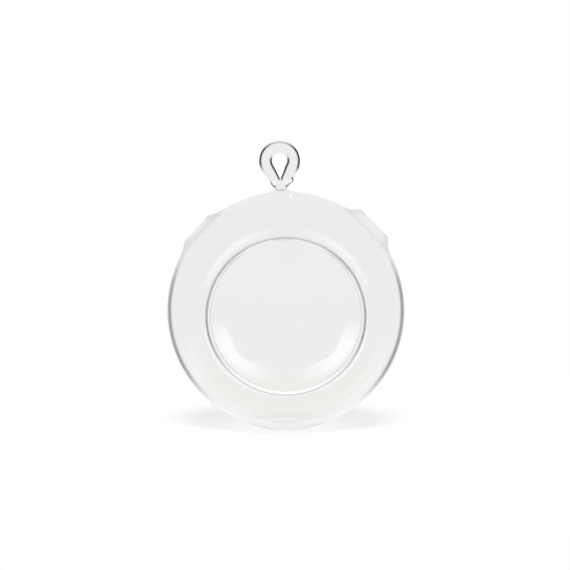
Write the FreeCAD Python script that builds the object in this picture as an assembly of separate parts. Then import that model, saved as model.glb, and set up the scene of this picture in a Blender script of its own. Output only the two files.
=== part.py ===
import FreeCAD, Part
import math
import os

# A clear glass propagation vase: a blown globe with one large round opening in
# front, two small raised ports on its shoulders, a solid glass hanging loop on
# top and a small pressed foot. Lengths are in millimetres, angles in degrees.
# +Z is up, the large opening faces -Y and the origin is the middle of the foot's
# flat face. Every piece is first drawn about its own +Z axis with the globe's
# centre as zero, then turned to its place.

# Globe
globe_outer_radius = 50.0
globe_wall = 1.6

# Large front opening
front_bore_radius = 30.5
front_bead_diameter = 1.6
front_flare_width = 5.4
front_lip_stand = 1.8
front_lip_lean = 20.0

# Left shoulder port
left_port_tilt = 47.3
left_bore_radius = 6.45
left_bead_diameter = 1.7
left_flare_width = 5.85
left_lip_stand = 1.7
left_lip_lean = 56.0

# Right shoulder port
right_port_tilt = 45.5
right_bore_radius = 7.0
right_bead_diameter = 1.7
right_flare_width = 5.5
right_lip_stand = 3.0
right_lip_lean = 45.0

# Pressed foot
foot_face_radius = 8.0
foot_edge_rounding = 6.0
foot_edge_angle = 74.0
foot_spread_share = 0.36
foot_flattening = 0.2
foot_floor_thickness = 2.8

# Crown, where the hanging loop is welded to the globe
crown_tilt = -2.4
neck_radius = 2.5
neck_height = 2.3
neck_flare_width = 5.5

# Weld bead between the neck and the loop's two rod ends
bead_half_width = 4.0
bead_half_depth = 3.3
bead_half_height = 1.6
bead_seat_share = 0.69
bead_lobe_radius = 1.6
bead_lobe_offset = 3.9
bead_lobe_lift = 1.5

# Hanging loop, a solid rod bent to a teardrop eye
eye_width = 6.5
eye_half_angle = 24.0
eye_seat_share = 0.95
rod_diameter = 5.3
leg_taper = 6.3
rod_end_radius = 2.65
rod_end_angle = 38.0
rod_end_offset = 0.05

# Drawing aids
cut_overrun = 4.0
flare_handle_share = 0.4
floor_handle_share = 0.3

# Sizes that follow from those above
globe_inner_radius = globe_outer_radius - globe_wall
centre_height = globe_outer_radius - foot_flattening
neck_top = globe_outer_radius + neck_height
bead_centre = neck_top + bead_seat_share * bead_half_height
rod_radius = rod_diameter / 2
eye_radius = eye_width / 2
ring_mean_radius = eye_radius + rod_radius
eye_point = bead_centre + eye_seat_share * bead_half_height
ring_centre = eye_point + eye_radius / math.sin(math.radians(eye_half_angle))
leg_lean = math.radians(eye_half_angle + leg_taper)

x_axis = FreeCAD.Vector(1, 0, 0)
y_axis = FreeCAD.Vector(0, 1, 0)
z_axis = FreeCAD.Vector(0, 0, 1)
zero_point = FreeCAD.Vector(0, 0, 0)


def flat_point(across, along):
    """A point of a profile: its distance from the piece's axis, and its place along it."""
    return FreeCAD.Vector(across, 0, along)


def sphere_point(radius, angle):
    """The point of a sphere about the globe's centre, at an angle from the piece's axis."""
    return flat_point(radius * math.sin(angle), radius * math.cos(angle))


def towards_axis(angle):
    """The direction along a sphere at that angle, towards the piece's axis."""
    return flat_point(-math.cos(angle), math.sin(angle))


def seam_angle(seam_radius):
    """The angle at which a seam of that radius lies on the globe's outside."""
    return math.asin(seam_radius / globe_outer_radius)


def smooth_edge(start, start_direction, end, end_direction, handle_share):
    """A curve between two points that leaves and arrives in the given directions."""
    handle = handle_share * start.distanceToPoint(end)
    curve = Part.BezierCurve()
    first_handle = start + start_direction * handle
    last_handle = end - end_direction * handle
    curve.setPoles([start, first_handle, last_handle, end])
    return curve.toShape()


def arc_edge(start, middle, end):
    return Part.Arc(start, middle, end).toShape()


def sphere_edge(radius, start_angle, end_angle):
    middle_angle = (start_angle + end_angle) / 2
    start = sphere_point(radius, start_angle)
    middle = sphere_point(radius, middle_angle)
    end = sphere_point(radius, end_angle)
    return arc_edge(start, middle, end)


def turned_solid(edges):
    """The solid that a closed profile sweeps in a full turn about the piece's axis."""
    profile = Part.Face(Part.Wire(edges))
    return profile.revolve(zero_point, z_axis, 360)


def placed(shape, turn_axis, turn_angle):
    """The shape turned about the globe's centre and lifted to the globe's height."""
    result = shape.copy()
    result.rotate(zero_point, turn_axis, turn_angle)
    result.translate(z_axis * centre_height)
    return result


def in_front(shape):
    return placed(shape, x_axis, 90)


def at_left_port(shape):
    return placed(shape, y_axis, -left_port_tilt)


def at_right_port(shape):
    return placed(shape, y_axis, right_port_tilt)


def at_foot(shape):
    return placed(shape, x_axis, 180)


def at_crown(shape):
    return placed(shape, y_axis, crown_tilt)


def lip_seam_angle(bore_radius, bead_diameter, flare_width):
    return seam_angle(bore_radius + bead_diameter + flare_width)


def opening_lip(bore_radius, bead_diameter, flare_width, lip_stand, lip_lean):
    """The ring of wall around an opening: it leaves the globe's wall at a conical
    seam, flares outwards and ends in a rounded, flame-polished bead."""
    seam = lip_seam_angle(bore_radius, bead_diameter, flare_width)
    lean = math.radians(lip_lean)
    bead_radius = bead_diameter / 2
    rim_radius = bore_radius + bead_diameter
    lip_face = math.sqrt(globe_outer_radius ** 2 - rim_radius ** 2) + lip_stand
    bead_middle = flat_point(bore_radius + bead_radius, lip_face - bead_radius)
    collar_direction = flat_point(-math.sin(lean), math.cos(lean))
    collar_normal = flat_point(math.cos(lean), math.sin(lean))

    outer_seam = sphere_point(globe_outer_radius, seam)
    inner_seam = sphere_point(globe_inner_radius, seam)
    outer_bead = bead_middle + collar_normal * bead_radius
    inner_bead = bead_middle - collar_normal * bead_radius
    bead_tip = bead_middle + collar_direction * bead_radius

    return turned_solid([
        smooth_edge(outer_seam, towards_axis(seam), outer_bead, collar_direction, flare_handle_share),
        arc_edge(outer_bead, bead_tip, inner_bead),
        smooth_edge(inner_bead, -collar_direction, inner_seam, -towards_axis(seam), flare_handle_share),
        Part.makeLine(inner_seam, outer_seam),
    ])


def front_seam_angle():
    return lip_seam_angle(front_bore_radius, front_bead_diameter, front_flare_width)


def left_seam_angle():
    return lip_seam_angle(left_bore_radius, left_bead_diameter, left_flare_width)


def right_seam_angle():
    return lip_seam_angle(right_bore_radius, right_bead_diameter, right_flare_width)


def foot_seam_angle():
    """The pressed bottom spreads over a share of the globe's own radius."""
    return seam_angle(foot_spread_share * globe_outer_radius)


def crown_seam_angle():
    return seam_angle(neck_radius + neck_flare_width)


def seam_cone(seam):
    """The cone from the globe's centre through a seam, past the outside of the wall."""
    reach = globe_outer_radius + cut_overrun
    return Part.makeCone(0, reach * math.tan(seam), reach)


def globe_shell():
    """The blown wall behind the front opening, cut out where the ports, foot and crown sit."""
    seam = front_seam_angle()
    outer_pole = sphere_point(globe_outer_radius, math.pi)
    inner_pole = sphere_point(globe_inner_radius, math.pi)
    shell = turned_solid([
        sphere_edge(globe_outer_radius, seam, math.pi),
        Part.makeLine(outer_pole, inner_pole),
        sphere_edge(globe_inner_radius, math.pi, seam),
        Part.makeLine(sphere_point(globe_inner_radius, seam), sphere_point(globe_outer_radius, seam)),
    ])
    seats = [
        at_left_port(seam_cone(left_seam_angle())),
        at_right_port(seam_cone(right_seam_angle())),
        at_foot(seam_cone(foot_seam_angle())),
        at_crown(seam_cone(crown_seam_angle())),
    ]
    return in_front(shell).cut(seats)


def front_lip():
    return in_front(opening_lip(
        front_bore_radius, front_bead_diameter, front_flare_width, front_lip_stand, front_lip_lean))


def left_port_lip():
    return at_left_port(opening_lip(
        left_bore_radius, left_bead_diameter, left_flare_width, left_lip_stand, left_lip_lean))


def right_port_lip():
    return at_right_port(opening_lip(
        right_bore_radius, right_bead_diameter, right_flare_width, right_lip_stand, right_lip_lean))


def foot():
    """The pressed bottom: a flat face that rolls into the globe, with a thickened floor."""
    seam = foot_seam_angle()
    edge_angle = math.radians(foot_edge_angle)
    outer_seam = sphere_point(globe_outer_radius, seam)
    inner_seam = sphere_point(globe_inner_radius, seam)
    rounding_middle = flat_point(foot_face_radius, centre_height - foot_edge_rounding)
    edge_normal = flat_point(math.cos(edge_angle), math.sin(edge_angle))
    edge_direction = flat_point(-math.sin(edge_angle), math.cos(edge_angle))
    middle_angle = (edge_angle + math.pi / 2) / 2
    edge_start = rounding_middle + edge_normal * foot_edge_rounding
    edge_middle = rounding_middle + flat_point(
        foot_edge_rounding * math.cos(middle_angle), foot_edge_rounding * math.sin(middle_angle))
    edge_end = flat_point(rounding_middle.x, centre_height)
    face_middle = flat_point(0, centre_height)
    floor_middle = flat_point(0, centre_height - foot_floor_thickness)

    return at_foot(turned_solid([
        smooth_edge(outer_seam, towards_axis(seam), edge_start, edge_direction, flare_handle_share),
        arc_edge(edge_start, edge_middle, edge_end),
        Part.makeLine(edge_end, face_middle),
        Part.makeLine(face_middle, floor_middle),
        smooth_edge(floor_middle, x_axis, inner_seam, -towards_axis(seam), floor_handle_share),
        Part.makeLine(inner_seam, outer_seam),
    ]))


def crown_neck():
    """The top of the wall, drawn up into a short neck that carries the loop."""
    seam = crown_seam_angle()
    outer_seam = sphere_point(globe_outer_radius, seam)
    waist = flat_point(neck_radius, neck_top)
    top_middle = flat_point(0, neck_top)
    inner_middle = sphere_point(globe_inner_radius, 0)
    return at_crown(turned_solid([
        smooth_edge(outer_seam, towards_axis(seam), waist, z_axis, flare_handle_share),
        Part.makeLine(waist, top_middle),
        Part.makeLine(top_middle, inner_middle),
        sphere_edge(globe_inner_radius, 0, seam),
        Part.makeLine(sphere_point(globe_inner_radius, seam), outer_seam),
    ]))


def loop_ring():
    """The round part of the loop, open at the bottom where the legs begin."""
    ring_middle = flat_point(0, ring_centre)
    start_direction = flat_point(math.cos(leg_lean), -math.sin(leg_lean))
    start_tangent = flat_point(math.sin(leg_lean), math.cos(leg_lean))
    start = ring_middle + start_direction * ring_mean_radius
    section = Part.Face(Part.Wire([Part.makeCircle(rod_radius, start, start_tangent)]))
    opening_angle = math.degrees(math.pi + 2 * leg_lean)
    return section.revolve(ring_middle, -y_axis, opening_angle)


def loop_leg(side):
    """A tapering leg from the ring down to the height of the weld bead's middle."""
    drop = ring_mean_radius * math.sin(leg_lean)
    length = (ring_centre - drop - bead_centre) / math.cos(leg_lean)
    tip_radius = rod_radius - length * math.tan(math.radians(leg_taper))
    start = flat_point(side * ring_mean_radius * math.cos(leg_lean), ring_centre - drop)
    direction = flat_point(-side * math.sin(leg_lean), -math.cos(leg_lean))
    return Part.makeCone(rod_radius, tip_radius, length, start, direction)


def rod_end():
    """The rounded end of the rod, which shows on the right of the loop."""
    angle = math.radians(rod_end_angle)
    distance = ring_mean_radius + rod_end_offset
    middle = flat_point(distance * math.cos(angle), ring_centre - distance * math.sin(angle))
    return Part.makeSphere(rod_end_radius, middle)


def upright_loop():
    pieces = [loop_leg(1), loop_leg(-1), rod_end()]
    return loop_ring().fuse(pieces).removeSplitter()


def hanging_loop():
    return at_crown(upright_loop())


def weld_bead():
    """The bead of glass that fuses the rod's two ends to the neck, with a lobe on the right."""
    stretch = FreeCAD.Matrix()
    stretch.scale(bead_half_width, bead_half_depth, bead_half_height)
    body = Part.makeSphere(1).transformGeometry(stretch)
    body.translate(z_axis * bead_centre)
    lobe = Part.makeSphere(bead_lobe_radius, flat_point(bead_lobe_offset, bead_centre + bead_lobe_lift))
    below_neck = Part.makeCylinder(
        bead_half_width + cut_overrun, neck_height + cut_overrun, flat_point(0, neck_top), -z_axis)
    return at_crown(body.fuse(lobe).cut(upright_loop()).cut(below_neck))


pieces = {
    "globe_shell": globe_shell,
    "front_lip": front_lip,
    "left_port_lip": left_port_lip,
    "right_port_lip": right_port_lip,
    "foot": foot,
    "crown_neck": crown_neck,
    "weld_bead": weld_bead,
    "hanging_loop": hanging_loop,
}

for name, build in pieces.items():
    shape = build()
    shape.exportStep("parts/" + name + ".step")
    print(name, len(shape.Solids), "solid,", round(shape.Volume), "cubic mm, valid:", shape.isValid())
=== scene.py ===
import math
from collections import namedtuple

import bmesh
import bpy
import numpy as np
from mathutils import Matrix, Vector
from mathutils.geometry import delaunay_2d_cdt


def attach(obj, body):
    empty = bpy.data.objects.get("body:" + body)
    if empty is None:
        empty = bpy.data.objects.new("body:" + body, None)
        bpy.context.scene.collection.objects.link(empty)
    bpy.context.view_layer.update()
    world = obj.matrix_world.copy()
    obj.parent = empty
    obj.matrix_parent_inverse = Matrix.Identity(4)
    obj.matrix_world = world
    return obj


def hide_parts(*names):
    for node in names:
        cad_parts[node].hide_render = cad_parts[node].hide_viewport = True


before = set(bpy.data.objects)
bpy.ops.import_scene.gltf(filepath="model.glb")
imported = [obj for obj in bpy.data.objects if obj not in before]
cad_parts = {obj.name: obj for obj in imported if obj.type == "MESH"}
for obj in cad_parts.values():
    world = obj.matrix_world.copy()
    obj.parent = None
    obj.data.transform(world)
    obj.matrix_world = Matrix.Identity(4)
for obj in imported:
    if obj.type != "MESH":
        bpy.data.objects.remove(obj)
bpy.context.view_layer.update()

# Every length is in metres and every angle in degrees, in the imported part's own frame:
# +Z up, the large opening faces -Y, and the origin is the middle of the foot's face.
# Each piece is drawn about its own +Z axis with the globe's centre as zero, then placed.
# A shape is a list of corner points, faces, a normal for each corner of each face, and a
# flag for each face that is set where it is fused to the next piece.

# Globe
GLOBE_RADIUS = 0.05
GLOBE_WALL = 0.0016
GLOBE_POINT_SPACING = 0.0013

# Front opening
FRONT_TILT = 90
FRONT_BORE_RADIUS = 0.0305
FRONT_BEAD_DIAMETER = 0.0016
FRONT_FLARE_WIDTH = 0.0054
FRONT_LIP_STAND = 0.0018
FRONT_LIP_LEAN = 20
FRONT_SEGMENTS = 288

# Left port
LEFT_PORT_TILT = 47.3
LEFT_BORE_RADIUS = 0.00645
LEFT_BEAD_DIAMETER = 0.0017
LEFT_FLARE_WIDTH = 0.00585
LEFT_LIP_STAND = 0.0017
LEFT_LIP_LEAN = 56

# Right port
RIGHT_PORT_TILT = 45.5
RIGHT_BORE_RADIUS = 0.007
RIGHT_BEAD_DIAMETER = 0.0017
RIGHT_FLARE_WIDTH = 0.0055
RIGHT_LIP_STAND = 0.003
RIGHT_LIP_LEAN = 45
PORT_SEGMENTS = 120

# Foot
FOOT_TILT = 180
FOOT_FACE_RADIUS = 0.008
FOOT_EDGE_ROUNDING = 0.006
FOOT_EDGE_ANGLE = 74
FOOT_SPREAD_SHARE = 0.36
FOOT_FLATTENING = 0.0002
FOOT_FLOOR_THICKNESS = 0.0028
FOOT_SEGMENTS = 120

# Crown
CROWN_TILT = -2.4
NECK_WAIST_RADIUS = 0.00245
NECK_WAIST_HEIGHT = 0.0016
NECK_SEAM_RADIUS = 0.008
CROWN_SEGMENTS = 72

# Weld bead, loop and rod end
BEAD_HEIGHT = 0.0034
BEAD_HALF_SIZE = (0.004, 0.0033, 0.0016)
BEAD_LOBE_RADIUS = 0.0016
BEAD_LOBE_OFFSET = 0.0039
BEAD_LOBE_LIFT = 0.0015
BEAD_SPLIT_LIFT = 0.0012
EYE_RADIUS = 0.00325
EYE_HALF_ANGLE = 24
EYE_POINT_LIFT = 0.00152
ROD_RADIUS = 0.00265
LEG_TAPER = 6.3
LEG_TAPER_POWER = 1.25
ROD_END_RADIUS = 0.00265
ROD_END_ANGLE = 38
ROD_END_OFFSET = 0.00005
NECK_STUB_LENGTH = 0.001

# Widths over which the parts of the loop and the weld bead melt into one another
LEG_JOIN = 0.0006
ROD_END_JOIN = 0.0004
LOBE_JOIN = 0.0008
STUB_JOIN = 0.001
BEAD_JOIN = 0.0006

# Meshing of the loop and the weld bead
LOOP_MESH_STEP = 0.0002
LOOP_HALF_WIDTH = 0.0096
LOOP_HALF_DEPTH = 0.004
SLOPE_STEP = 0.00002
SETTLING_ROUNDS = 4
CUT_TOLERANCE = 1e-8
FAR_AWAY = 1.0
LEAST_SLOPE = 1e-9

# Hair's breadth between two pieces at a fused seam
SEAM_GAP = 0.00001

# Turned outlines: how stiff the curves are, in shares of their chords, and how fine
FLARE_HANDLE_SHARE = 0.4
FLOOR_HANDLE_SHARE = 0.3
WAIST_HANDLE_SHARE = 0.15
CURVE_STEPS = 24
BEAD_STEPS = 18
SAME_POINT_DIGITS = 8

# Sizes that follow from those above
INNER_RADIUS = GLOBE_RADIUS - GLOBE_WALL
CENTRE_HEIGHT = GLOBE_RADIUS - FOOT_FLATTENING
WAIST = GLOBE_RADIUS + NECK_WAIST_HEIGHT
BEAD_CENTRE = GLOBE_RADIUS + BEAD_HEIGHT
SPLIT = BEAD_CENTRE + BEAD_SPLIT_LIFT
RING_RADIUS = EYE_RADIUS + ROD_RADIUS
EYE_POINT = BEAD_CENTRE + EYE_POINT_LIFT
RING_CENTRE = EYE_POINT + EYE_RADIUS / math.sin(math.radians(EYE_HALF_ANGLE))
LEG_LEAN = math.radians(EYE_HALF_ANGLE + LEG_TAPER)
GLOBE_CENTRE = Vector((0, 0, CENTRE_HEIGHT))


# Places of the pieces

def turned(axis, angle):
    return Matrix.Translation(GLOBE_CENTRE) @ Matrix.Rotation(math.radians(angle), 4, axis)


GLOBE_PLACE = Matrix.Translation(GLOBE_CENTRE)
FRONT_PLACE = turned("X", FRONT_TILT)
LEFT_PLACE = turned("Y", -LEFT_PORT_TILT)
RIGHT_PLACE = turned("Y", RIGHT_PORT_TILT)
FOOT_PLACE = turned("X", FOOT_TILT)
CROWN_PLACE = turned("Y", CROWN_TILT)


def placed(points, place):
    matrix = np.array(place)
    return points @ matrix[:3, :3].T + matrix[:3, 3]


def turned_only(directions, place):
    return directions @ np.array(place)[:3, :3].T


def axis_of(place):
    return np.array(place)[:3, 2]


# Outlines of the turned pieces

# An outline is made of strips of points with their own normals. A point says how far
# across from the axis it lies, and how far along it.

def on_sphere(radius, angle):
    return np.array([radius * math.sin(angle), radius * math.cos(angle)])


def towards_axis(angle):
    return np.array([-math.cos(angle), math.sin(angle)])


def seam_angle(seam_radius):
    return math.asin(seam_radius / GLOBE_RADIUS)


def right_of(direction):
    """The outward normal of an outline that runs in the given direction."""
    return np.stack([direction[..., 1], -direction[..., 0]], axis=-1)


def curve_strip(start, start_direction, end, end_direction, start_share, end_share):
    """A smooth curve that leaves and arrives in the given directions."""
    chord = np.linalg.norm(end - start)
    first = start + start_direction * chord * start_share
    last = end - end_direction * chord * end_share
    t = np.linspace(0, 1, CURVE_STEPS + 1)[:, None]
    rest = 1 - t
    points = rest**3 * start + 3 * rest**2 * t * first + 3 * rest * t**2 * last + t**3 * end
    slopes = 3 * rest**2 * (first - start) + 6 * rest * t * (last - first) + 3 * t**2 * (end - last)
    slopes /= np.linalg.norm(slopes, axis=1)[:, None]
    return points, right_of(slopes), False


def arc_strip(middle, radius, start_angle, end_angle, steps):
    """An arc whose angles are measured from the across direction towards the axis's end."""
    angles = np.linspace(start_angle, end_angle, steps + 1)
    normals = np.stack([np.cos(angles), np.sin(angles)], axis=1)
    return middle + radius * normals, normals, False


def line_strip(start, end, steps, fused=False):
    t = np.linspace(0, 1, steps + 1)[:, None]
    direction = (end - start) / np.linalg.norm(end - start)
    return start + (end - start) * t, np.tile(right_of(direction), (steps + 1, 1)), fused


def inner_sphere_strip(start_angle, end_angle, steps):
    """The inside of the globe's wall, from one angle to another off the axis."""
    angles = np.linspace(start_angle, end_angle, steps + 1)
    outward = np.stack([np.sin(angles), np.cos(angles)], axis=1)
    return INNER_RADIUS * outward, -outward, False


class TurnedBody:
    """Strips turned about +Z. Strips that meet in an outline's point share its ring."""

    def __init__(self, segments):
        angles = np.arange(segments) * 2 * math.pi / segments
        self.segments = segments
        self.cosines = np.cos(angles)
        self.sines = np.sin(angles)
        self.rings = {}
        self.verts = []
        self.faces = []
        self.normals = []
        self.fused = []

    def ring(self, point):
        """The corner numbers around the axis for one point of an outline."""
        across, along = point
        key = (round(across, SAME_POINT_DIGITS), round(along, SAME_POINT_DIGITS))
        if key not in self.rings:
            start = len(self.verts)
            if key[0] <= 0:
                self.verts.append((0, 0, along))
                self.rings[key] = [start] * self.segments
            else:
                self.verts.extend(zip(across * self.cosines, across * self.sines, [along] * self.segments))
                self.rings[key] = list(range(start, start + self.segments))
        return self.rings[key]

    def add_face(self, corners, normals, fused):
        self.faces.append([number for number, _, _ in corners])
        self.fused.append(fused)
        for _, row, column in corners:
            across, along = normals[row]
            self.normals.append((across * self.cosines[column], across * self.sines[column], along))

    def add_strip(self, points, normals, fused):
        for i in range(len(points) - 1):
            low = self.ring(points[i])
            high = self.ring(points[i + 1])
            for j in range(self.segments):
                k = (j + 1) % self.segments
                corners = [(low[j], i, j), (low[k], i, k), (high[k], i + 1, k), (high[j], i + 1, j)]
                if low[j] == low[k]:
                    corners.pop(1)
                elif high[j] == high[k]:
                    corners.pop(2)
                self.add_face(corners, normals, fused)


def turned_shape(strips, segments):
    body = TurnedBody(segments)
    for strip in strips:
        body.add_strip(*strip)
    return np.array(body.verts), body.faces, np.array(body.normals), body.fused


# Lips, foot and neck

def lip_seam(bore_radius, bead_diameter, flare_width):
    return seam_angle(bore_radius + bead_diameter + flare_width)


FRONT_SEAM = lip_seam(FRONT_BORE_RADIUS, FRONT_BEAD_DIAMETER, FRONT_FLARE_WIDTH)
LEFT_SEAM = lip_seam(LEFT_BORE_RADIUS, LEFT_BEAD_DIAMETER, LEFT_FLARE_WIDTH)
RIGHT_SEAM = lip_seam(RIGHT_BORE_RADIUS, RIGHT_BEAD_DIAMETER, RIGHT_FLARE_WIDTH)
FOOT_SEAM = seam_angle(FOOT_SPREAD_SHARE * GLOBE_RADIUS)
CROWN_SEAM = seam_angle(NECK_SEAM_RADIUS)
HALF_GAP_ANGLE = SEAM_GAP / 2 / GLOBE_RADIUS


def seam_strip(seam):
    return line_strip(on_sphere(INNER_RADIUS, seam), on_sphere(GLOBE_RADIUS, seam), 1, fused=True)


def lip_shape(bore_radius, bead_diameter, lip_stand, lip_lean, full_seam, segments):
    """The wall flares from the seam to the rim's bead and comes back down inside."""
    seam = full_seam - HALF_GAP_ANGLE
    lean = math.radians(lip_lean)
    bead_radius = bead_diameter / 2
    rim_radius = bore_radius + bead_diameter
    lip_face = math.sqrt(GLOBE_RADIUS**2 - rim_radius**2) + lip_stand
    bead_middle = np.array([bore_radius + bead_radius, lip_face - bead_radius])
    collar = np.array([-math.sin(lean), math.cos(lean)])
    outer_bead = bead_middle + right_of(collar) * bead_radius
    inner_bead = bead_middle - right_of(collar) * bead_radius
    share = FLARE_HANDLE_SHARE
    return turned_shape([
        curve_strip(on_sphere(GLOBE_RADIUS, seam), towards_axis(seam), outer_bead, collar, share, share),
        arc_strip(bead_middle, bead_radius, lean, lean + math.pi, BEAD_STEPS),
        curve_strip(inner_bead, -collar, on_sphere(INNER_RADIUS, seam), -towards_axis(seam), share, share),
        seam_strip(seam),
    ], segments)


def front_lip_shape():
    return lip_shape(
        FRONT_BORE_RADIUS, FRONT_BEAD_DIAMETER, FRONT_LIP_STAND, FRONT_LIP_LEAN, FRONT_SEAM, FRONT_SEGMENTS)


def left_port_shape():
    return lip_shape(
        LEFT_BORE_RADIUS, LEFT_BEAD_DIAMETER, LEFT_LIP_STAND, LEFT_LIP_LEAN, LEFT_SEAM, PORT_SEGMENTS)


def right_port_shape():
    return lip_shape(
        RIGHT_BORE_RADIUS, RIGHT_BEAD_DIAMETER, RIGHT_LIP_STAND, RIGHT_LIP_LEAN, RIGHT_SEAM, PORT_SEGMENTS)


def foot_shape():
    """The wall runs down to a rounded edge and a flat face, with a thicker floor inside."""
    seam = FOOT_SEAM - HALF_GAP_ANGLE
    edge_angle = math.radians(FOOT_EDGE_ANGLE)
    edge_direction = np.array([-math.sin(edge_angle), math.cos(edge_angle)])
    rounding_middle = np.array([FOOT_FACE_RADIUS, CENTRE_HEIGHT - FOOT_EDGE_ROUNDING])
    edge_start = rounding_middle + FOOT_EDGE_ROUNDING * right_of(edge_direction)
    edge_end = np.array([FOOT_FACE_RADIUS, CENTRE_HEIGHT])
    face_middle = np.array([0, CENTRE_HEIGHT])
    floor_middle = np.array([0, CENTRE_HEIGHT - FOOT_FLOOR_THICKNESS])
    outer_seam = on_sphere(GLOBE_RADIUS, seam)
    inner_seam = on_sphere(INNER_RADIUS, seam)
    across = np.array([1, 0])
    flare = FLARE_HANDLE_SHARE
    floor = FLOOR_HANDLE_SHARE
    return turned_shape([
        curve_strip(outer_seam, towards_axis(seam), edge_start, edge_direction, flare, flare),
        arc_strip(rounding_middle, FOOT_EDGE_ROUNDING, edge_angle, math.pi / 2, BEAD_STEPS // 2),
        line_strip(edge_end, face_middle, CURVE_STEPS // 2),
        curve_strip(floor_middle, across, inner_seam, -towards_axis(seam), floor, floor),
        seam_strip(seam),
    ], FOOT_SEGMENTS)


def neck_shape():
    """The wall rises to the waist, where the weld bead's flat face sits on the neck's."""
    seam = CROWN_SEAM - HALF_GAP_ANGLE
    waist = np.array([NECK_WAIST_RADIUS, WAIST - SEAM_GAP / 2])
    waist_middle = np.array([0, waist[1]])
    up = np.array([0, 1])
    outer_seam = on_sphere(GLOBE_RADIUS, seam)
    return turned_shape([
        curve_strip(outer_seam, towards_axis(seam), waist, up, FLARE_HANDLE_SHARE, WAIST_HANDLE_SHARE),
        line_strip(waist, waist_middle, 1, fused=True),
        inner_sphere_strip(0, seam, CURVE_STEPS // 2),
        seam_strip(seam),
    ], CROWN_SEGMENTS)


# The globe's wall

# Points are spread evenly over the sphere and joined to triangles in a flat map, which is
# the sphere's projection from the middle of the front opening.

def shell_seams():
    """The angle off its axis, the place and the segments of each seam in the wall."""
    return [
        (FRONT_SEAM + HALF_GAP_ANGLE, FRONT_PLACE, FRONT_SEGMENTS),
        (LEFT_SEAM + HALF_GAP_ANGLE, LEFT_PLACE, PORT_SEGMENTS),
        (RIGHT_SEAM + HALF_GAP_ANGLE, RIGHT_PLACE, PORT_SEGMENTS),
        (FOOT_SEAM + HALF_GAP_ANGLE, FOOT_PLACE, FOOT_SEGMENTS),
        (CROWN_SEAM + HALF_GAP_ANGLE, CROWN_PLACE, CROWN_SEGMENTS),
    ]


def even_directions(spacing):
    """Directions on a spiral, as far apart on the globe as points in a triangular pattern."""
    count = int(4 * math.pi * GLOBE_RADIUS**2 / (spacing**2 * math.sin(math.pi / 3)))
    k = np.arange(count) + 1 / 2
    height = 1 - 2 * k / count
    golden_angle = math.pi * (1 + math.sqrt(5))
    across = np.sqrt(1 - height**2)
    return np.stack([across * np.cos(golden_angle * k), across * np.sin(golden_angle * k), height], axis=1)


def seam_ring(seam, place, segments):
    angles = np.arange(segments) * 2 * math.pi / segments
    local = np.stack([
        math.sin(seam) * np.cos(angles),
        math.sin(seam) * np.sin(angles),
        np.full(segments, math.cos(seam)),
    ], axis=1)
    return turned_only(local, place)


def in_the_wall(directions, seams, margin):
    """Which directions lie outside all the seams, by at least the margin."""
    keep = np.ones(len(directions), bool)
    for seam, place, _ in seams:
        keep &= directions @ axis_of(place) < math.cos(seam + margin)
    return keep


def flat_map(directions, place):
    """The directions as flat points, seen from the middle of the opening at that place."""
    local = directions @ np.array(place)[:3, :3]
    return local[:, :2] / (1 - local[:, 2])[:, None]


def wall_triangles(directions, edges, seams):
    """Outward triangles between neighbouring directions, with the openings left out."""
    flat = [Vector(point) for point in flat_map(directions, FRONT_PLACE)]
    _, _, triangles, originals, _, _ = delaunay_2d_cdt(flat, edges, [], 0, 0.0)
    source = np.array([numbers[0] for numbers in originals])
    faces = source[np.array(triangles)]
    corners = directions[faces]
    middles = corners.mean(1)
    middles /= np.linalg.norm(middles, axis=1)[:, None]
    facing = np.cross(corners[:, 1] - corners[:, 0], corners[:, 2] - corners[:, 0])
    inwards = (facing * middles).sum(1) <= 0
    faces[inwards] = faces[inwards, ::-1]
    return faces[in_the_wall(middles, seams, 0)]


def seam_wall(directions, ring, seam, place):
    """Faces across the thickness of the wall, all along one seam, and their corners' normals."""
    to_inside = len(directions)
    across = (axis_of(place) - directions[ring] * math.cos(seam)) / math.sin(seam)
    faces = []
    normals = []
    for i in range(len(ring)):
        j = (i + 1) % len(ring)
        faces.append([ring[j], ring[j] + to_inside, ring[i] + to_inside, ring[i]])
        normals.extend([across[j], across[j], across[i], across[i]])
    return faces, normals


def numbered(rings):
    """The corner numbers of each ring, where the rings come first and follow one another."""
    ends = np.cumsum([len(ring) for ring in rings]).tolist()
    return [list(range(end - len(ring), end)) for ring, end in zip(rings, ends)]


def shell_shape():
    """The outside and the inside of the globe's wall, and its thickness along each seam."""
    seams = shell_seams()
    rings = [seam_ring(*seam) for seam in seams]
    spread = even_directions(GLOBE_POINT_SPACING)
    margin = GLOBE_POINT_SPACING / GLOBE_RADIUS / 2
    directions = np.concatenate(rings + [spread[in_the_wall(spread, seams, margin)]])
    ring_numbers = numbered(rings)
    edges = [edge for ring in ring_numbers for edge in zip(ring, ring[1:] + ring[:1])]
    outer = wall_triangles(directions, edges, seams)
    inner = outer[:, ::-1]
    faces = outer.tolist() + (inner + len(directions)).tolist()
    normals = [*directions[outer.ravel()], *-directions[inner.ravel()]]
    fused = [False] * len(faces)
    for (seam, place, _), ring in zip(seams, ring_numbers):
        seam_faces, seam_normals = seam_wall(directions, ring, seam, place)
        faces += seam_faces
        normals += seam_normals
        fused += [True] * len(seam_faces)
    verts = np.concatenate([directions * GLOBE_RADIUS, directions * INNER_RADIUS])
    return verts, faces, np.array(normals), fused


# The loop and its weld

# They are one smooth body of fused glass, given by a field that is negative in the glass.
# Its mesh is cut in two at the split height.

def smooth_join(a, b, width):
    h = np.maximum(width - np.abs(a - b), 0) / width
    return np.minimum(a, b) - h * h * width / 4


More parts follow.
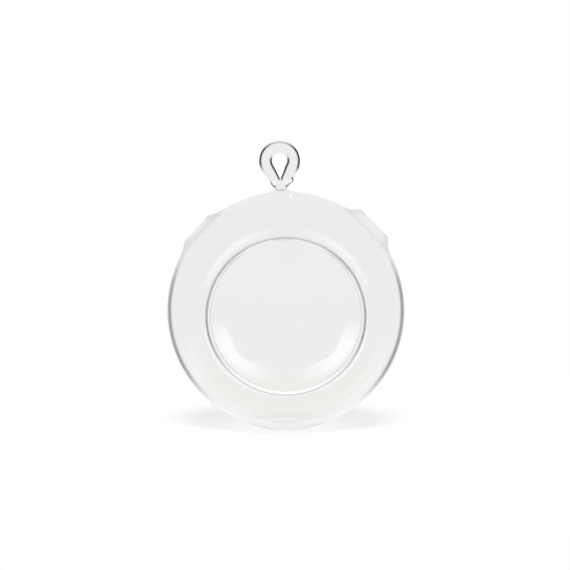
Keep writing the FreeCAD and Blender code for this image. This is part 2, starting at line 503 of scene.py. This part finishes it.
def rod_leg(p, side):
    """One straight leg of the rod, thinner towards the bead. The side is -1 or 1 along X."""
    drop = RING_RADIUS * math.sin(LEG_LEAN)
    length = (RING_CENTRE - drop - BEAD_CENTRE) / math.cos(LEG_LEAN)
    tip_radius = ROD_RADIUS - length * math.tan(math.radians(LEG_TAPER))
    start = np.array([side * RING_RADIUS * math.cos(LEG_LEAN), 0, RING_CENTRE - drop])
    direction = np.array([-side * math.sin(LEG_LEAN), 0, -math.cos(LEG_LEAN)])
    along = np.clip((p - start) @ direction / length, 0, 1)
    nearest = start + along[:, None] * direction * length
    radius = ROD_RADIUS + (tip_radius - ROD_RADIUS) * along**LEG_TAPER_POWER
    return np.linalg.norm(p - nearest, axis=1) - radius


def rod_ring(p):
    """The bent part of the rod, open below between the tops of the two legs."""
    x = p[:, 0]
    z = p[:, 2] - RING_CENTRE
    across = np.hypot(x, z) - RING_RADIUS
    distance = np.hypot(across, p[:, 1]) - ROD_RADIUS
    below = np.arctan2(-z, np.abs(x)) > LEG_LEAN
    return np.where(below, FAR_AWAY, distance)


def ball(p, x, z, radius):
    return np.linalg.norm(p - np.array([x, 0, z]), axis=1) - radius


def rod_end(p):
    angle = math.radians(ROD_END_ANGLE)
    reach = RING_RADIUS + ROD_END_OFFSET
    return ball(p, reach * math.cos(angle), RING_CENTRE - reach * math.sin(angle), ROD_END_RADIUS)


def bead_body(p):
    """An ellipsoid, whose field is close to the distance near its surface."""
    q = p - np.array([0, 0, BEAD_CENTRE])
    size = np.array(BEAD_HALF_SIZE)
    near = np.linalg.norm(q / size, axis=1)
    slope = np.linalg.norm(q / size**2, axis=1) + LEAST_SLOPE
    return near * (near - 1) / slope


def bead_lobe(p):
    return ball(p, BEAD_LOBE_OFFSET, BEAD_CENTRE + BEAD_LOBE_LIFT, BEAD_LOBE_RADIUS)


def neck_stub(p):
    """A short round stub under the bead, which the neck's flat top meets."""
    beside = np.hypot(p[:, 0], p[:, 1]) - NECK_WAIST_RADIUS
    ends = np.maximum(p[:, 2] - BEAD_CENTRE, WAIST - NECK_STUB_LENGTH - p[:, 2])
    return np.maximum(beside, ends)


def loop_field(p):
    left = np.minimum(rod_ring(p), rod_leg(p, -1))
    rod = smooth_join(left, rod_leg(p, 1), LEG_JOIN)
    rod = smooth_join(rod, rod_end(p), ROD_END_JOIN)
    bead = smooth_join(bead_body(p), bead_lobe(p), LOBE_JOIN)
    bead = smooth_join(bead, neck_stub(p), STUB_JOIN)
    return smooth_join(rod, bead, BEAD_JOIN)


def field_slope(field, p):
    slope = np.empty_like(p)
    for axis in range(3):
        shift = np.zeros(3)
        shift[axis] = SLOPE_STEP
        slope[:, axis] = (field(p + shift) - field(p - shift)) / (2 * SLOPE_STEP)
    return slope


# Meshing a field: four-sided faces around the places where it changes sign

CELL_CORNERS = [(i, j, k) for i in (0, 1) for j in (0, 1) for k in (0, 1)]
CELLS_AROUND_AN_EDGE = ((-1, -1), (0, -1), (0, 0), (-1, 0))


def is_cell_edge(a, b):
    """Whether b is the next corner of the cell after a, along one axis."""
    return sum(b) == sum(a) + 1 and all(x <= y for x, y in zip(a, b))


def crossed_cells(inside):
    """The grid cells that lie partly in the glass, and a map from each cell to its number."""
    number_inside = sum(
        inside[tuple(slice(c, c + n - 1) for c, n in zip(corner, inside.shape))].astype(int)
        for corner in CELL_CORNERS)
    crossed = (number_inside > 0) & (number_inside < len(CELL_CORNERS))
    cells = np.argwhere(crossed)
    cell_number = np.full(crossed.shape, -1)
    cell_number[crossed] = np.arange(len(cells))
    return cells, cell_number


def cell_points(values, cells):
    """One point in each cell: the mean of where its edges leave the glass, in grid steps."""
    total = np.zeros((len(cells), 3))
    weight = np.zeros(len(cells))
    for a, b in [(a, b) for a in CELL_CORNERS for b in CELL_CORNERS if is_cell_edge(a, b)]:
        value_a = values[tuple((cells + a).T)]
        value_b = values[tuple((cells + b).T)]
        crosses = (value_a < 0) != (value_b < 0)
        share = np.where(crosses, value_a / np.where(crosses, value_a - value_b, 1), 0)
        point = np.array(a) + share[:, None] * (np.array(b) - np.array(a))
        total += point * crosses[:, None]
        weight += crosses
    return cells + total / weight[:, None]


def crossing_faces(inside, cell_number):
    """A face for each grid edge that leaves the glass, between the four cells around it."""
    faces = []
    for axis in range(3):
        start = inside.take(range(inside.shape[axis] - 1), axis)
        end = inside.take(range(1, inside.shape[axis]), axis)
        for place in np.argwhere(start != end):
            around = []
            for shift in CELLS_AROUND_AN_EDGE:
                cell = place.copy()
                cell[(axis + 1) % 3] += shift[0]
                cell[(axis + 2) % 3] += shift[1]
                around.append(int(cell_number[tuple(cell)]))
            faces.append(around if start[tuple(place)] else around[::-1])
    return faces


def field_surface(field, low, high, step):
    """The surface where the field is zero, in the box between the low and high corners."""
    counts = [math.ceil((high[i] - low[i]) / step) + 1 for i in range(3)]
    axes = [low[i] + step * np.arange(counts[i]) for i in range(3)]
    grid = np.stack(np.meshgrid(*axes, indexing="ij"), axis=-1)
    values = field(grid.reshape(-1, 3)).reshape(counts)
    cells, cell_number = crossed_cells(values < 0)
    verts = np.array(low) + step * cell_points(values, cells)
    for _ in range(SETTLING_ROUNDS):
        slope = field_slope(field, verts)
        verts -= slope * (field(verts) / (slope**2).sum(1))[:, None]
    return verts, crossing_faces(values < 0, cell_number)


# Cutting the meshed body level at a height, which leaves a flat fused face there

def cut_level(body, height, keep_above):
    geometry = body.verts[:] + body.edges[:] + body.faces[:]
    result = bmesh.ops.bisect_plane(
        body, geom=geometry, dist=CUT_TOLERANCE, plane_co=(0, 0, height), plane_no=(0, 0, 1),
        clear_inner=keep_above, clear_outer=not keep_above)
    edges = [item for item in result["geom_cut"] if isinstance(item, bmesh.types.BMEdge)]
    return bmesh.ops.edgeloop_fill(body, edges=edges)["faces"]


def shape_of(body, cap_facing):
    """The body as a shape. Its caps are flat and fused, and the rest follows the field."""
    body.verts.index_update()
    points = np.array([corner.co for corner in body.verts])
    slopes = field_slope(loop_field, points)
    slopes /= np.linalg.norm(slopes, axis=1)[:, None]
    faces = []
    normals = []
    fused = []
    for face in body.faces:
        facing = cap_facing.get(face)
        faces.append([corner.index for corner in face.verts])
        normals += [slopes[number] if facing is None else (0, 0, facing) for number in faces[-1]]
        fused.append(facing is not None)
    return points, faces, np.array(normals), fused


def cut_body(verts, faces, cuts):
    """What level cuts leave of a closed body. A cut is a height and whether the part above
    it is kept."""
    body = bmesh.new()
    corners = [body.verts.new(point) for point in verts]
    for face in faces:
        body.faces.new([corners[number] for number in face])
    cap_facing = {}
    for height, keep_above in cuts:
        for cap in cut_level(body, height, keep_above):
            cap_facing[cap] = -1 if keep_above else 1
    body.normal_update()
    for cap, facing in cap_facing.items():
        if cap.normal.z * facing < 0:
            cap.normal_flip()
    shape = shape_of(body, cap_facing)
    body.free()
    return shape


def loop_shapes():
    low = (-LOOP_HALF_WIDTH, -LOOP_HALF_DEPTH, WAIST - 2 * NECK_STUB_LENGTH)
    high = (LOOP_HALF_WIDTH, LOOP_HALF_DEPTH, RING_CENTRE + LOOP_HALF_WIDTH)
    verts, faces = field_surface(loop_field, low, high, LOOP_MESH_STEP)
    bead = cut_body(verts, faces, [(WAIST + SEAM_GAP / 2, True), (SPLIT - SEAM_GAP / 2, False)])
    loop = cut_body(verts, faces, [(SPLIT + SEAM_GAP / 2, True)])
    return bead, loop


# Nodes of materials and of the world

def feed(tree, socket, value):
    """Sets a socket to a number or a colour, or links it to another node's output."""
    if isinstance(value, (int, float, tuple)):
        socket.default_value = value
    else:
        tree.links.new(value, socket)


def add_node(tree, kind, inputs=None, **settings):
    node = tree.nodes.new(kind)
    for name, value in settings.items():
        setattr(node, name, value)
    for name, value in (inputs or {}).items():
        feed(tree, node.inputs[name], value)
    return node


def math_node(tree, operation, *values):
    return add_node(tree, "ShaderNodeMath", dict(enumerate(values)), operation=operation).outputs[0]


def product(tree, first, *others):
    for other in others:
        first = math_node(tree, "MULTIPLY", first, other)
    return first


def opposite(tree, share):
    """1 where the share is 0, and 0 where it is 1."""
    return math_node(tree, "SUBTRACT", 1, share)


def soft_step(tree, value, ends):
    """0 below the first end, 1 above the second, and smooth between."""
    start, end = ends
    node = add_node(
        tree, "ShaderNodeMapRange", {"Value": value, "From Min": start, "From Max": end},
        interpolation_type="SMOOTHSTEP")
    return node.outputs["Result"]


def soft_band(tree, value, begins, stops):
    """1 between the two pairs of ends, 0 beyond them, and smooth inside each pair."""
    return math_node(tree, "SUBTRACT", soft_step(tree, value, begins), soft_step(tree, value, stops))


def chosen(tree, factor, otherwise, value):
    """The value where the factor is 1, and otherwise the other one."""
    inputs = {"Factor": factor, "A": otherwise, "B": value}
    return add_node(tree, "ShaderNodeMix", inputs, data_type="FLOAT").outputs["Result"]


def shaded(tree, level, shade, amount):
    """The level, darkened by that amount where shade is 1. A negative amount lightens it."""
    return product(tree, opposite(tree, product(tree, shade, amount)), level)


def grey(level):
    return (level, level, level, 1)


def mixed(tree, factor, first, second):
    return add_node(tree, "ShaderNodeMixShader", {0: factor, 1: first, 2: second}).outputs[0]


def see_through(tree, level):
    """Shows nothing of itself, and lets that share of the light behind it through."""
    return add_node(tree, "ShaderNodeBsdfTransparent", {"Color": grey(level)}).outputs[0]


def new_material(name):
    material = bpy.data.materials.new(name)
    material.use_nodes = True
    material.node_tree.nodes.clear()
    return material


def surface_is(tree, shader):
    add_node(tree, "ShaderNodeOutputMaterial", {"Surface": shader})


# Glass

GLASS_TINT = (0.985, 0.986, 0.985)
REFRACTIVE_INDEX = 1.49
WAVE_DETAIL = 1
WAVE_STRENGTH = 0.02
WAVE_HEIGHT = 0.001
LAMP_LIGHT_PASSED = 0.82

# A light path counts its bounces, so a limit lies half-way between two whole numbers
FIRST_SURFACE_DEPTH = 0.5
ANY_REFLECTION = 0.5
CAUGHT_LIGHT_DEPTH = 1.5

# What a kind of glass shows. Waviness says how many waves its surface has to the metre,
# and clearness how much of the light that is caught inside it gets out. The edge shade is
# painted shade: how dark the glass is painted where it is first seen at a slant, standing
# in for dark surroundings beside the vase seen in its edges, 0 being face-on and 1 edge-on:
# the dark begins over one pair of slants and stops over the other. It is darkest where the
# surface's normal has the edge height, from -1 down to 1 up, and is gone at the reach from
# there. Out to the full shade's share of the reach, it stays as it is.
Look = namedtuple("Look", "waviness clearness edge_shade begins stops edge_height edge_reach")
FULL_SHADE_SHARE = 0.4
NEVER = (1.0, 1.1)
WALL_LOOK = Look(
    waviness=60, clearness=1.0, edge_shade=0.58, begins=(0.7, 0.78), stops=(0.81, 0.95),
    edge_height=-0.12, edge_reach=0.7)
FOOT_LOOK = Look(
    waviness=60, clearness=1.0, edge_shade=0.12, begins=(0.8, 0.92), stops=NEVER,
    edge_height=-0.9, edge_reach=1.2)
LIP_LOOK = Look(
    waviness=60, clearness=0.55, edge_shade=0.85, begins=(0.45, 0.75), stops=NEVER,
    edge_height=0.2, edge_reach=0.95)
PORT_LOOK = Look(
    waviness=60, clearness=0.8, edge_shade=0.12, begins=(0.4, 0.8), stops=NEVER,
    edge_height=0.4, edge_reach=1.2)
NECK_LOOK = Look(
    waviness=140, clearness=0.95, edge_shade=0.3, begins=(0.25, 0.45), stops=(0.5, 0.75),
    edge_height=0.5, edge_reach=1.2)
BEAD_LOOK = Look(
    waviness=140, clearness=1.0, edge_shade=0.75, begins=(0.3, 0.55), stops=NEVER,
    edge_height=-0.35, edge_reach=1.1)
ROD_LOOK = Look(
    waviness=140, clearness=0.9, edge_shade=0.95, begins=(0.12, 0.42), stops=NEVER,
    edge_height=0.2, edge_reach=0.75)


def edge_shade(tree, normal, path, look):
    """Painted shade: how far the glass is darkened where it is first seen edge-on and faces
    sideways, standing in for dark surroundings beside the vase seen in its edges.
    """
    slant = add_node(tree, "ShaderNodeLayerWeight").outputs["Facing"]
    parts = add_node(tree, "ShaderNodeSeparateXYZ", {"Vector": normal})
    height = math_node(tree, "SUBTRACT", parts.outputs["Z"], look.edge_height)
    off_level = math_node(tree, "ABSOLUTE", height)
    edge = soft_band(tree, slant, look.begins, look.stops)
    upright = soft_step(tree, off_level, (FULL_SHADE_SHARE * look.edge_reach, look.edge_reach))
    first = math_node(tree, "LESS_THAN", path.outputs["Ray Depth"], FIRST_SURFACE_DEPTH)
    return product(tree, edge, opposite(tree, upright), look.edge_shade, first)


def wavy_glass(tree, place, waviness):
    """Glass whose surface is a little uneven, as blown and drawn glass is."""
    waves = add_node(tree, "ShaderNodeTexNoise", {
        "Vector": place.outputs["Object"], "Scale": waviness, "Detail": WAVE_DETAIL})
    bump = add_node(tree, "ShaderNodeBump", {
        "Height": waves.outputs["Fac"], "Strength": WAVE_STRENGTH, "Distance": WAVE_HEIGHT})
    glass = add_node(tree, "ShaderNodeBsdfPrincipled", {
        "Base Color": (*GLASS_TINT, 1), "Roughness": 0, "IOR": REFRACTIVE_INDEX,
        "Transmission Weight": 1, "Normal": bump.outputs["Normal"]})
    return glass.outputs[0]


def clear_glass(name, look):
    """Clear soda glass. Lamps shine through it, so that its shadow stays pale, and light
    that is reflected more than once inside the wall gets out of it."""
    material = new_material(name)
    tree = material.node_tree
    place = add_node(tree, "ShaderNodeTexCoord")
    path = add_node(tree, "ShaderNodeLightPath")
    caught = math_node(tree, "GREATER_THAN", path.outputs["Glossy Depth"], CAUGHT_LIGHT_DEPTH)
    glass = mixed(tree, caught, wavy_glass(tree, place, look.waviness), see_through(tree, look.clearness))
    edge = edge_shade(tree, place.outputs["Normal"], path, look)
    # Painted shade on the edges: a black see-through surface mixed in over the glass
    glass = mixed(tree, edge, glass, see_through(tree, 0))
    lamp_light = see_through(tree, LAMP_LIGHT_PASSED)
    surface_is(tree, mixed(tree, path.outputs["Is Shadow Ray"], glass, lamp_light))
    return material


def fused_seam():
    """The faces where two pieces are melted into one another: nothing shows there."""
    material = new_material("fused_seam")
    surface_is(material.node_tree, see_through(material.node_tree, 1))
    return material


WALL = clear_glass("blown_glass", WALL_LOOK)
FOOT = clear_glass("foot_glass", FOOT_LOOK)
LIP = clear_glass("lip_glass", LIP_LOOK)
PORT = clear_glass("port_glass", PORT_LOOK)
NECK = clear_glass("neck_glass", NECK_LOOK)
BEAD = clear_glass("bead_glass", BEAD_LOOK)
ROD = clear_glass("rod_glass", ROD_LOOK)
FUSED = fused_seam()


# The pieces

def glass_piece(name, node, place, shape, glass):
    verts, faces, corner_normals, fused = shape
    mesh = bpy.data.meshes.new(name)
    mesh.from_pydata(placed(verts, place).tolist(), [], faces)
    mesh.materials.append(glass)
    mesh.materials.append(FUSED)
    mesh.polygons.foreach_set("use_smooth", [True] * len(faces))
    mesh.polygons.foreach_set("material_index", [int(flag) for flag in fused])
    mesh.normals_split_custom_set(turned_only(corner_normals, place).tolist())
    mesh.update()
    piece = bpy.data.objects.new(name, mesh)
    bpy.context.scene.collection.objects.link(piece)
    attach(piece, "root")
    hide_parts(node)


def make_vase():
    bead_shape, loop_shape = loop_shapes()
    glass_piece("globe_glass", "globe_shell", GLOBE_PLACE, shell_shape(), WALL)
    glass_piece("front_lip_glass", "front_lip", FRONT_PLACE, front_lip_shape(), LIP)
    glass_piece("left_port_glass", "left_port_lip", LEFT_PLACE, left_port_shape(), PORT)
    glass_piece("right_port_glass", "right_port_lip", RIGHT_PLACE, right_port_shape(), PORT)
    glass_piece("foot_glass", "foot", FOOT_PLACE, foot_shape(), FOOT)
    glass_piece("crown_neck_glass", "crown_neck", CROWN_PLACE, neck_shape(), NECK)
    glass_piece("weld_bead_glass", "weld_bead", CROWN_PLACE, bead_shape, BEAD)
    glass_piece("hanging_loop_glass", "hanging_loop", CROWN_PLACE, loop_shape, ROD)


make_vase()


# World

# Two glowing fields lie high beside the vase, a little before it. They fade in and out over
# pairs of angles, two pairs off straight ahead of the opening and two above the level.
GLASS_BACKGROUND = 0.86
DIFFUSE_LIGHT = 0.4
GLOW_LEVEL = 1.9
GLOW_BEGINS = (66, 70)
GLOW_STOPS = (81, 91)
GLOW_LOW_END = (5, 32)
GLOW_HIGH_END = (40, 88)


def glow(tree, path):
    """How bright the glowing fields are in each direction, for light off a reflection only."""
    place = add_node(tree, "ShaderNodeTexCoord")
    parts = add_node(tree, "ShaderNodeSeparateXYZ", {"Vector": place.outputs["Generated"]})
    x, y, z = parts.outputs
    ahead = math_node(tree, "DEGREES", math_node(tree, "ARCCOSINE", product(tree, y, -1)))
    rise = math_node(tree, "DEGREES", math_node(tree, "ARCTAN2", z, math_node(tree, "ABSOLUTE", x)))
    beside = soft_band(tree, ahead, GLOW_BEGINS, GLOW_STOPS)
    above = soft_band(tree, rise, GLOW_LOW_END, GLOW_HIGH_END)
    reflected = math_node(tree, "GREATER_THAN", path.outputs["Glossy Depth"], ANY_REFLECTION)
    return product(tree, beside, above, reflected, GLOW_LEVEL)


def make_world():
    """White to the camera. Glass shows a pale grey room, and reflects the glowing fields."""
    world = bpy.data.worlds.new("studio")
    bpy.context.scene.world = world
    world.use_nodes = True
    tree = world.node_tree
    tree.nodes.clear()
    path = add_node(tree, "ShaderNodeLightPath")
    in_glass = math_node(tree, "ADD", glow(tree, path), GLASS_BACKGROUND)
    level = chosen(tree, path.outputs["Is Diffuse Ray"], in_glass, DIFFUSE_LIGHT)
    level = chosen(tree, path.outputs["Is Camera Ray"], level, 1)
    light = add_node(tree, "ShaderNodeBackground", {"Color": grey(1), "Strength": level})
    add_node(tree, "ShaderNodeOutputWorld", {"Surface": light.outputs[0]})


# Floor

# In the glass, its tint and its shade fade over pairs of distances from the foot's middle,
# and its glint fades over a pair of places behind the foot.
FLOOR_RADIUS = 0.3
FLOOR_SEGMENTS = 128
FLOOR_COLOUR = 0.5
FLOOR_FILL = 0.42
FLOOR_IN_GLASS = (1.0, 1.005, 0.965)
TINT_FADES = (0.16, 0.26)
FLOOR_GLINT = 0.1
GLINT_FADES = (0.02, 0.05)
FOOT_SHADE = 0.1
FOOT_SHADE_FADES = (0.008, 0.03)
CAUGHT_GAIN = 0.2


def floor_tone(tree, path, reach, y):
    """How light the floor is in the glass. Reflections see it lighter, save from behind the
    vase. Near the foot it is darker, but lighter to light caught inside the wall."""
    reflected = math_node(tree, "GREATER_THAN", path.outputs["Glossy Depth"], ANY_REFLECTION)
    glint = product(tree, opposite(tree, soft_step(tree, y, GLINT_FADES)), FLOOR_GLINT)
    tone = chosen(tree, reflected, GLASS_BACKGROUND, math_node(tree, "ADD", glint, GLASS_BACKGROUND))
    near = opposite(tree, soft_step(tree, reach, FOOT_SHADE_FADES))
    caught = math_node(tree, "GREATER_THAN", path.outputs["Glossy Depth"], CAUGHT_LIGHT_DEPTH)
    tone = shaded(tree, tone, near, FOOT_SHADE)
    return shaded(tree, tone, product(tree, near, caught), -CAUGHT_GAIN)


def floor_tint(tree, path, reach):
    """A warm tint in the glass near the vase, and none in reflections."""
    reflected = math_node(tree, "GREATER_THAN", path.outputs["Glossy Depth"], ANY_REFLECTION)
    plain = math_node(tree, "MAXIMUM", reflected, soft_step(tree, reach, TINT_FADES))
    inputs = {"Factor": plain, "A": (*FLOOR_IN_GLASS, 1), "B": grey(1)}
    return add_node(tree, "ShaderNodeMix", inputs, data_type="RGBA").outputs["Result"]


def floor_material():
    """White with a soft shadow, and as grey as the room when it is seen through glass."""
    material = new_material("white_floor")
    tree = material.node_tree
    path = add_node(tree, "ShaderNodeLightPath")
    place = add_node(tree, "ShaderNodeTexCoord")
    parts = add_node(tree, "ShaderNodeSeparateXYZ", {"Vector": place.outputs["Object"]})
    x, y, _ = parts.outputs
    reach = math_node(tree, "SQRT", math_node(tree, "ADD", product(tree, x, x), product(tree, y, y)))
    seen = add_node(tree, "ShaderNodeEmission", {
        "Color": floor_tint(tree, path, reach), "Strength": floor_tone(tree, path, reach, y)})
    surface = add_node(tree, "ShaderNodeBsdfDiffuse", {"Color": grey(FLOOR_COLOUR)})
    fill = add_node(tree, "ShaderNodeEmission", {"Strength": FLOOR_FILL})
    lit = add_node(tree, "ShaderNodeAddShader", {0: surface.outputs[0], 1: fill.outputs[0]})
    rays = path.outputs
    in_glass = math_node(tree, "MAXIMUM", rays["Is Glossy Ray"], rays["Is Transmission Ray"])
    surface_is(tree, mixed(tree, in_glass, lit.outputs[0], seen.outputs[0]))
    return material


def make_floor():
    angles = [2 * math.pi * i / FLOOR_SEGMENTS for i in range(FLOOR_SEGMENTS)]
    rim = [(FLOOR_RADIUS * math.cos(angle), FLOOR_RADIUS * math.sin(angle), 0) for angle in angles]
    mesh = bpy.data.meshes.new("floor")
    mesh.from_pydata(rim, [], [list(range(FLOOR_SEGMENTS))])
    mesh.materials.append(floor_material())
    floor = bpy.data.objects.new("floor", mesh)
    bpy.context.scene.collection.objects.link(floor)


# Lamp and camera

KEY_STRENGTH = 3.65
KEY_WIDTH = 28
KEY_ELEVATION = 48
CAMERA_DISTANCE = 1.0
CAMERA_ELEVATION = 3.0
CAMERA_AIM_ABOVE_CENTRE = 0.0107
CAMERA_AIM_BESIDE_CENTRE = -0.00037
LENS = 150
SENSOR = 36


def aimed(thing, position, target):
    direction = Vector(target) - Vector(position)
    thing.location = position
    thing.rotation_euler = direction.to_track_quat("-Z", "Y").to_euler()


def key_light():
    """A broad lamp in front and above that throws the shadow back. Glass doesn't show it."""
    lamp = bpy.data.lights.new("key", "SUN")
    lamp.energy = KEY_STRENGTH
    lamp.angle = math.radians(KEY_WIDTH)
    key = bpy.data.objects.new("key", lamp)
    bpy.context.scene.collection.objects.link(key)
    elevation = math.radians(KEY_ELEVATION)
    aimed(key, (0, -math.cos(elevation), math.sin(elevation)), (0, 0, 0))
    key.visible_glossy = False
    key.visible_transmission = False


def make_camera():
    data = bpy.data.cameras.new("camera")
    data.lens = LENS
    data.sensor_width = SENSOR
    camera = bpy.data.objects.new("camera", data)
    bpy.context.scene.collection.objects.link(camera)
    elevation = math.radians(CAMERA_ELEVATION)
    aim = GLOBE_CENTRE + Vector((CAMERA_AIM_BESIDE_CENTRE, 0, CAMERA_AIM_ABOVE_CENTRE))
    position = aim + CAMERA_DISTANCE * Vector((0, -math.cos(elevation), math.sin(elevation)))
    aimed(camera, position, aim)
    bpy.context.scene.camera = camera


make_world()
make_floor()
key_light()
make_camera()
bpy.context.scene.view_settings.view_transform = "Standard"
